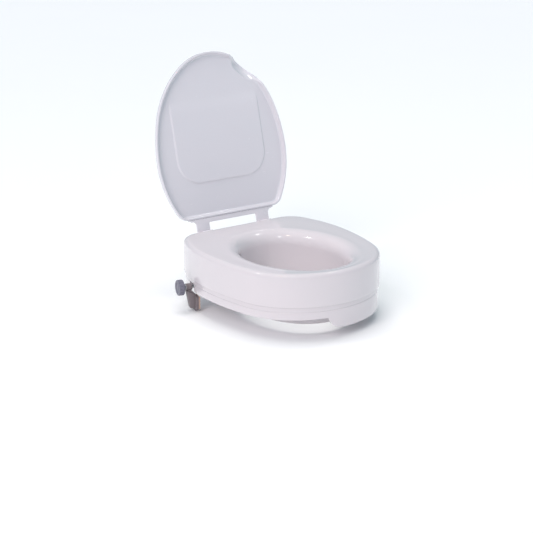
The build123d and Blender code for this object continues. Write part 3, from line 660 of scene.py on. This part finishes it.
def base_tray():
    """Closed tray: outer wall and lip, underside, collar, throat, floor and inner wall, carried round
    the plan. At each clamp the wall is pushed in to form the notch for the jaw's boss."""
    plan, outward, throat, away = seat_rings()
    v = clamp_coordinates(plan - BAND_STEP * outward)[1]
    far_away = np.where(plan[:, 1] > 0, 0, 1000)
    for side in (1, -1):
        for edge in (1, -1):
            other_side = np.where(plan[:, 0] * side > 0, far_away, 1000)
            nearest = np.argmin(np.abs(v - edge * NOTCH_HALF_WIDTH) + other_side)
            for column, place in ((nearest, 1 + NOTCH_SLANT), (nearest - side * edge, 1 - NOTCH_SLANT)):
                v[column] = edge * NOTCH_HALF_WIDTH * place
                turn = np.arcsin(v[column] / (BACK_RADIUS - BAND_STEP)) + CLAMP_TURN
                outward[column] = (side * np.cos(turn), np.sin(turn))
                plan[column] = BACK_CENTRE * [side, 1] + BACK_RADIUS * outward[column]
    inwards = np.stack([-np.sign(plan[:, 0]) * CLAMP_OUT[0], np.full(len(plan), -CLAMP_OUT[1])], 1)
    push = np.where((np.abs(v) < NOTCH_HALF_WIDTH) & (plan[:, 1] > 0), NOTCH_DEPTH, 0)[:, None] * inwards

    outer, inner = -BAND_STEP, -BAND_STEP - TRAY_WALL
    depth = lip_depth(*plan.T)
    edge_round = np.minimum(TRAY_EDGE_ROUND, 0.4 * depth)
    flat = depth - edge_round
    rows = [(inner, SEAM_Z), (outer - 0.5, SEAM_Z), (outer, SEAM_Z - 0.5)]
    rows += [(outer, z) for z in (12.0, 8.0, 4.0, 0.5)]
    rows += [(outer, -t * flat) for t in np.linspace(0, 1, 8)]
    for angle in np.radians((30, 60, 90)):
        rows.append((outer - edge_round * (1 - np.cos(angle)), -flat - edge_round * np.sin(angle)))
    for angle in np.radians((90, 60, 30)):
        rows.append((inner + edge_round * (1 - np.cos(angle)), -flat - edge_round * np.sin(angle)))
    rows += [(inner, UNDERSIDE_Z - t * flat) for t in np.linspace(1, 0, 8)]
    outside = [at_height(plan + np.reshape(d, (-1, 1)) * outward + push, z) for d, z in rows]

    foot, r = tray_low[2], COLLAR_ROUND
    around = [(COLLAR_WALL, z) for z in (UNDERSIDE_Z, -9.0, -18.0, foot + r)]
    around += [(COLLAR_WALL - r, foot), (r, foot)]
    around += [(0, z) for z in (foot + r, -18.0, -8.0, FLOOR - 0.4)] + [(0.4, FLOOR)]
    collar = [at_height(throat + d * away, z) for d, z in around]
    share = np.linspace(0, 1, 12)[1:-1, None, None]
    underside = outside[-1] * (1 - share) + collar[0] * share
    floor_edge = at_height(plan + (inner - 0.5) * outward + push, FLOOR)
    floor_top = collar[-1] * (1 - share) + floor_edge * share
    return np.concatenate([np.array(outside), underside, np.array(collar), floor_top, floor_edge[None]])


new_piece("base_tray_moulding", [grid_mesh(base_tray(), "joined")], "seat", "seat_white", ["base_tray"])


# ---- Lid ----------------------------------------------------------------------------------
LID_SHOULDER = egg_arcs(LID_HALF_WIDTH, LID_WIDEST_Y, LID_REAR_Y, **LID_ARCS)[1]


def smooth_step(value, low, high):
    """0 below low, 1 above high, cubic between."""
    t = np.clip((value - low) / (high - low), 0, 1)
    return t * t * (3 - 2 * t)


def arch_cavity(x, y):
    """Height of the finger lift over the rim plane: a skewed sine hump along the lid's edge, times a
    squared cosine of the distance inside it."""
    centre, radius = LID_SHOULDER[:2]
    dx, dy = x - centre[0], y - centre[1]
    along = radius * (np.arctan2(dy, dx) - np.radians(ARCH_MIDDLE))
    inside = radius - np.hypot(dx, dy)
    share = np.clip((along + ARCH_HALF_LENGTH) / (2 * ARCH_HALF_LENGTH), 0, 1) ** ARCH_SKEW
    hump = np.sin(np.pi * share) ** ARCH_POWER
    reach = np.cos(np.pi / 2 * np.clip(inside / ARCH_REACH, 0, 1)) ** 2
    return ARCH_HEIGHT * hump * reach


def panel_distance(x, y):
    """Distance outside a rounded rectangle, negative inside."""
    middle = (PANEL_REAR_Y + PANEL_FRONT_Y) / 2
    half_length = (PANEL_REAR_Y - PANEL_FRONT_Y) / 2
    qx = np.abs(x) - PANEL_HALF_WIDTH + PANEL_CORNER
    qy = np.abs(y - middle) - half_length + PANEL_CORNER
    outside = np.hypot(np.maximum(qx, 0), np.maximum(qy, 0))
    return outside + np.minimum(np.maximum(qx, qy), 0) - PANEL_CORNER


def panel_height(x, y):
    """Height of the panel's step, fading out towards the front."""
    step = 1 - smooth_step(panel_distance(x, y), -PANEL_SLOPE / 2, PANEL_SLOPE / 2)
    return PANEL_STEP * step * smooth_step(y, *PANEL_FADE)


def smooth_max(a, b, width):
    """The larger of two heights, with a soft change-over."""
    return 0.5 * (a + b + np.sqrt((a - b)**2 + width**2)) - 0.5 * width * np.exp(-np.abs(a - b) / width)


def lid_grid():
    """Rings of one face of the lid, from the edge to the middle, each with its distance inside the edge.
    Near the edge they are parallel to it; farther in they run to the panel's outline, found by halving
    along rays from the middle, and then to the middle."""
    plan, outward = ring_of(egg_arcs(LID_HALF_WIDTH, LID_WIDEST_Y, LID_REAR_Y, **LID_ARCS), LID_SPACING)
    middle = np.array([0.0, (PANEL_REAR_Y + PANEL_FRONT_Y) / 2])
    bearing = plan - middle
    bearing /= np.hypot(*bearing.T)[:, None]
    low, high = np.zeros(len(plan)), np.full(len(plan), 260.0)
    for _ in range(30):
        half = (low + high) / 2
        outside = panel_distance(*(middle + half[:, None] * bearing).T) > 0
        low, high = np.where(outside, low, half), np.where(outside, half, high)
    panel = middle + low[:, None] * bearing

    near = np.concatenate([np.linspace(0, 1, 5), np.linspace(1.6, LID_EDGE, 20)])
    edge = [(plan - d * outward, np.full(len(plan), d)) for d in near]
    last = edge[-1][0]
    gap = np.hypot(*(last - panel).T)[:, None]
    slope = np.minimum(PANEL_SLOPE * 0.75, gap * 0.4)
    start, end = panel + slope * bearing, panel - slope * bearing
    rings = [last + (start - last) * t for t in np.linspace(0, 1, 18)[1:]]
    rings += [start + (end - start) * t for t in np.linspace(0, 1, 9)[1:]]
    rings += [end + (middle - end) * t for t in np.linspace(0, 1, 22)[1:-1]]
    deep = [(ring, np.full(len(plan), LID_EDGE)) for ring in rings]
    return edge + deep


def lid_underside(ring, inset):
    """Rim with a rounded outer edge, a cove up to the ceiling, the panel standing down from it, and
    the arch."""
    x, y = ring.T
    r = LID_EDGE_ROUND
    lip = r - np.sqrt(r**2 - (r - np.minimum(inset, r))**2)
    climb = np.clip((inset - LID_RIM) / LID_COVE, 0, 1)
    cove = LID_CAVITY * (1 - (1 - climb)**COVE_POWER)
    height = lip + cove - panel_height(x, y) * smooth_step(inset, *PANEL_INSET)
    return smooth_max(height, arch_cavity(x, y), CAVITY_BLEND)


def lid_top(ring, inset):
    """Rounded edge, slight dome, recess over the panel, and the hood over the arch."""
    x, y = ring.T
    arch = arch_cavity(x, y)
    share = np.clip(arch / ARCH_HEIGHT, 0, 1)
    radius = LID_ROUND
    drop = radius - np.sqrt(radius**2 - (radius - np.minimum(inset, radius))**2)
    dome = LID_DOME * (1 - (x / LID_HALF_WIDTH)**2) * (1 - ((y - LID_WIDEST_Y / 2) / LID_DOME_LENGTH)**2)
    recess = panel_height(x, y) * smooth_step(inset, *PANEL_INSET)
    height = LID_DEPTH + dome * smooth_step(inset, 0, LID_EDGE) - recess
    height = smooth_max(height, arch + ARCH_SKIN, HOOD_BLEND)
    return height - drop * (1 - 0.8 * share)


def opened(points):
    """Turns points from the shut lid to the open rest pose about the hinge."""
    y, z = points[..., 1] - PIVOT[1], points[..., 2] - PIVOT[2]
    c, s = np.cos(OPEN_ANGLE), np.sin(OPEN_ANGLE)
    return np.stack([points[..., 0], PIVOT[1] + y * c + z * s, PIVOT[2] - y * s + z * c], -1)


rings = lid_grid()
under = [at_height(ring, RIM_Z + lid_underside(ring, inset)) for ring, inset in rings]
over = [at_height(ring, RIM_Z + lid_top(ring, inset)) for ring, inset in rings]
wall = [under[0] + (over[0] - under[0]) * t for t in (0.33, 0.67)]
lid_shape = opened(np.array(under[::-1] + wall + over))
new_piece("lid_moulding", [grid_mesh(lid_shape, "closed")], "lid", "lid_white", ["lid"], crease=50.0)


# ---- Hinge strap --------------------------------------------------------------------------
def hinge_strap():
    """Flat plate with two legs, upright flange against the lid, cranks down to the barrels, and the
    barrels."""
    w, y, end = STRAP_HALF_WIDTH, LID_REAR_Y, STRAP_END_Y
    slot, leg = LEG_X
    right = [(w, y), (w, y + 3.2), (leg, y + 6), (leg, end), (slot, end), (slot, y + 11)]
    round_right = [0.6, 1.2, 10.0, 3.0, 2.0, 3.0]
    corners = right + [(-x, y) for x, y in right[::-1]]
    high = STRAP_LOW + STRAP_THICKNESS
    plate = moulded(outline_of(corners, round_right + round_right[::-1]), STRAP_LOW, high, 0.8)
    flange_edge = outline_of(rectangle((-w, w), (y, y + FLANGE_THICKNESS)), 0.9)
    flange = moulded(flange_edge, STRAP_LOW + 0.05, RIM_Z + LID_DEPTH - 1.5, 0.8)
    fillet_edge = outline_of([(y + 2.5, high - 0.4), (y + 5.4, high - 0.4), (y + 2.5, high + 2.5)], 0.2)
    fillet = moulded(fillet_edge, -w + 3, w - 3, 0.2, (1, 2, 0))
    crank_edge = outline_of(rectangle((end - STRAP_THICKNESS, end), (PIVOT[2], high - 0.1)), 0.5)
    crank = moulded(crank_edge, *BARREL_X, 0.5, (1, 2, 0))
    first, last, r = *BARREL_X, BARREL_RADIUS
    barrel = turned([(first, r - 1.6), (first, r - 0.5), (first + 0.5, r), (last - 0.5, r), (last, r - 0.5),
                     (last, r - 1.6)])
    barrel = moved(barrel, lambda points: points + [0, PIVOT[1], PIVOT[2]])
    solids = [plate, flange, fillet, crank, flipped(crank), barrel, flipped(barrel)]
    return [moved(part, opened) for part in solids]


new_piece("hinge_strap_moulding", hinge_strap(), "lid", "hinge_white", ["hinge_strap"])


# ---- Side clamps --------------------------------------------------------------------------
def on_side(part, side):
    """Clamp shape in u, v and z, on the right side (1) or mirrored to the left (-1)."""
    c, s = np.cos(CLAMP_TURN), np.sin(CLAMP_TURN)

    def place(points):
        u, v, z = points.T
        return np.stack([side * (CLAMP_PLACE[0] + u * c - v * s), CLAMP_PLACE[1] + u * s + v * c, z], 1)
    return moved(part, place)


def raised(part):
    """Lifts a shape turned about the X axis to the spindle's height."""
    return moved(part, lambda points: points + [0, 0, SPINDLE_Z])


def clamp_jaw():
    """Bored boss with a groove round it, slanted arm, and the plate beside the bowl."""
    first, last = BOSS_U
    r, bore = BOSS_RADIUS, SPINDLE_RADIUS + 0.15
    boss = turned([(first, bore), (first, r - 0.7), (first + 0.7, r), (last - 4.6, r), (last - 4.2, r - 0.5),
                   (last - 3.6, r - 0.5), (last - 3.2, r), (last - 0.9, r), (last, r - 0.9), (last, bore)],
                  48, "joined")
    inner, (low, high), w = PLATE_U[0], PLATE_Z, PLATE_HALF_WIDTH
    arm = outline_of([(first + 0.3, SPINDLE_Z - 5), (first + 0.3, 0.4), (inner, high), (inner, -41), (6, -41),
                      (last - 0.3, 2), (last - 0.3, SPINDLE_Z - 5)], (0.3, 2, 1, 0.5, 3, 3, 0.3))
    plate = outline_of([(-6, low), (w, low), (w, high), (-w, high), (-w, low + 4), (-6, low + 4)],
                       (1.5, 3, 3, 3, 2, 1.5))
    return [raised(boss), moulded(arm, -ARM_HALF_WIDTH, ARM_HALF_WIDTH, 1.2, (0, 2, 1)),
            moulded(plate, *PLATE_U, 0.9, (1, 2, 0))]


def jaw_pad():
    """Rubber block with ridges, and so shallow grooves between them, across its gripping face."""
    block = outline_of(rectangle((-PAD_HALF_WIDTH, PAD_HALF_WIDTH), PAD_Z), 2)
    pad = [moulded(block, *PAD_U, 0.8, (1, 2, 0))]
    for z in np.linspace(*RIDGE_Z, RIDGES):
        height = (z - RIDGE_HALF_HEIGHT, z + RIDGE_HALF_HEIGHT)
        ridge = outline_of(rectangle((-RIDGE_HALF_WIDTH, RIDGE_HALF_WIDTH), height), 1.2)
        pad.append(moulded(ridge, *RIDGE_U, 0.5, (1, 2, 0)))
    return pad


def knob():
    """Hub, fluted wheel and dished face. The wheel's radius is softly cut by circles outside it."""
    hub_u = BOSS_U[1] + KNOB_GAP
    back = hub_u + KNOB_HUB
    front = back + KNOB_THICKNESS
    dish = front - DISH_DEPTH
    rim, r = KNOB_RADIUS, KNOB_ROUND
    profile = [(hub_u, 4.3), (hub_u, 5.4), (hub_u + 0.5, 6), (back - 1, 6), (back - 0.3, 6.3), (back, 7),
               (back, 14)]
    profile += [tuple(p) for p in arc_profile(-back - r, rim - r, r, 0, 90, 5) * [-1, 1]]
    profile += [(u, rim) for u in np.linspace(back + 3, back + 9.4, 5)]
    profile += [tuple(p) for p in arc_profile(front - r, rim - r, r, 90, 0, 5)]
    profile += [(front, rim - 3), (front, 13.1), (front - 0.4, 12.6), (dish + 0.4, 12.3), (dish, 11.8),
                (dish, 7), (dish + 0.3, 6.2), (dish + 0.9, 5.8), (dish + 0.9, 1.5)]
    along, radius = np.array(profile).T[:, :, None]
    angle = np.linspace(0, 2 * np.pi, FLUTES * 16, endpoint=False)
    off = (angle + np.pi / FLUTES) % (2 * np.pi / FLUTES) - np.pi / FLUTES
    reach = rim + FLUTE_OUT
    within = FLUTE_RADIUS**2 - (reach * np.sin(off))**2
    cut = np.where(within > 0, reach * np.cos(off) - np.sqrt(np.abs(within)), rim + 2.0)
    cut = np.minimum(cut, rim + 2.0)
    radius = -smooth_max(-radius + 0 * angle, -cut - 0 * radius, 0.5)
    grid = np.stack([along + 0 * angle, radius * np.cos(angle), radius * np.sin(angle)], -1)
    return raised(grid_mesh(grid, "closed"))


def spindle(hand):
    """Shaft with a helical thread: the radius dips in a triangle wave of distance along less share of
    a turn. The thread fades out at both ends, and the inner end is bevelled."""
    start, end = SPINDLE_U
    along = np.concatenate([np.arange(start, THREAD_END_U, THREAD_PITCH / 6), [THREAD_END_U, end]])[:, None]
    angle = np.linspace(0, 2 * np.pi, 36, endpoint=False)
    phase = (along / THREAD_PITCH - hand * angle / (2 * np.pi)) % 1
    fade = np.clip((THREAD_END_U - along) / THREAD_PITCH, 0, 1) * np.clip((along - start + 0.6) / 1.2, 0, 1)
    bevel = SPINDLE_BEVEL * np.clip(1 - (along - start) / SPINDLE_BEVEL, 0, 1)
    radius = SPINDLE_RADIUS - THREAD_DEPTH * fade * np.abs(2 * phase - 1) - bevel
    grid = np.stack([along + 0 * angle, radius * np.cos(angle), radius * np.sin(angle)], -1)
    return raised(grid_mesh(grid, "closed"))


for side, name in ((1, "right"), (-1, "left")):
    jaw_parts = [on_side(part, side) for part in clamp_jaw()]
    new_piece("clamp_jaw_moulding_" + name, jaw_parts, "jaw_" + name, "clamp_grey", ["clamp_jaw_" + name])
    pad_parts = [on_side(part, side) for part in jaw_pad()]
    new_piece("jaw_pad_rubber_" + name, pad_parts, "jaw_" + name, "pad_rubber", ["jaw_pad_" + name])
    knob_parts = [on_side(knob(), side)]
    new_piece("clamp_knob_moulding_" + name, knob_parts, "knob_" + name, "knob_grey", ["clamp_knob_" + name])
    spindle_parts = [on_side(spindle(side), side)]
    new_piece("clamp_spindle_thread_" + name, spindle_parts, "knob_" + name, "clamp_steel",
              ["clamp_spindle_" + name], crease=80.0)

# ---- CAD nodes that keep their shape ------------------------------------------------------
slot_of = {part["node"]: part["material_slot"] for part in frame["record"]["subparts"]}
for name, node in frame["nodes"].items():
    node.data.materials.clear()
    node.data.materials.append(MATERIALS[slot_of[name]])

# ---- Stage, light and camera --------------------------------------------------------------
FLOOR_Z = float(cad_low[2]) - 0.0005
FLOOR_REACH = (-12.0, 12.0)
floor_mesh = bpy.data.meshes.new("floor")
floor_corners = [(x, y, FLOOR_Z) for x, y in rectangle(FLOOR_REACH, FLOOR_REACH)]
floor_mesh.from_pydata(floor_corners, [], [(0, 1, 2, 3)])
floor = bpy.data.objects.new("floor", floor_mesh)
floor.data.materials.append(studio_floor())
bpy.context.scene.collection.objects.link(floor)

SOFT = np.radians(36.0)     # a sun this wide gives soft shadows
WHITE = (1.0, 1.0, 1.0)
LAMP_CENTRE = Vector((0.0, 0.0, 0.08))
LAMP_DISTANCE = 2.6
LAMP_SIZE = 0.24
world = bpy.data.worlds.new("studio")
bpy.context.scene.world = world
world.use_nodes = True
world.node_tree.nodes["Background"].inputs["Color"].default_value = rgb(0.72, 0.89, 1.0)
world.node_tree.nodes["Background"].inputs["Strength"].default_value = 0.50


def lamp(name, kind, towards, power, colour, **sizes):
    """Light placed in a direction from the seat, turned to face it. Only the small lamps show in the
    gloss."""
    data = bpy.data.lights.new(name, kind)
    data.energy, data.color = power, colour
    for key, value in sizes.items():
        setattr(data, key, value)
    light = bpy.data.objects.new(name, data)
    direction = Vector(towards).normalized()
    light.location = LAMP_CENTRE + LAMP_DISTANCE * direction
    light.rotation_euler = direction.to_track_quat("Z", "Y").to_euler()
    light.visible_glossy = kind == "AREA"
    bpy.context.scene.collection.objects.link(light)


lamp("key", "SUN", (-0.75, -0.42, 0.52), 1.38, (1.0, 0.88, 0.90), angle=SOFT)
lamp("overhead", "SUN", (0.0, 0.15, 1.0), 1.20, (1.0, 0.95, 0.91), angle=SOFT)
lamp("lamp_a", "AREA", (-0.53, 0.24, 0.81), 3.4, WHITE, size=LAMP_SIZE)
lamp("lamp_b", "AREA", (-0.38, -0.19, 0.90), 2.6, (1.0, 0.82, 0.60), size=LAMP_SIZE)
lamp("lamp_c", "AREA", (-0.25, -0.50, 0.83), 2.6, WHITE, size=LAMP_SIZE)
lamp("lamp_d", "AREA", (0.48, 0.0, 0.88), 2.6, WHITE, size=LAMP_SIZE)

AZIMUTH, ELEVATION = np.radians(-34.31), np.radians(17.95)
AIM = Vector((-0.0243, 0.0503, 0.0444))
DISTANCE = 3.733
camera_data = bpy.data.cameras.new("camera")
camera_data.lens = 114.5
camera_data.sensor_width = 36.0
camera_data.clip_end = 50.0
camera = bpy.data.objects.new("camera", camera_data)
back = Vector((np.sin(AZIMUTH) * np.cos(ELEVATION), -np.cos(AZIMUTH) * np.cos(ELEVATION), np.sin(ELEVATION)))
camera.location = AIM + DISTANCE * back
camera.rotation_euler = (-back).to_track_quat("-Z", "Y").to_euler()
bpy.context.scene.collection.objects.link(camera)
bpy.context.scene.camera = camera
bpy.context.scene.view_settings.view_transform = "Standard"
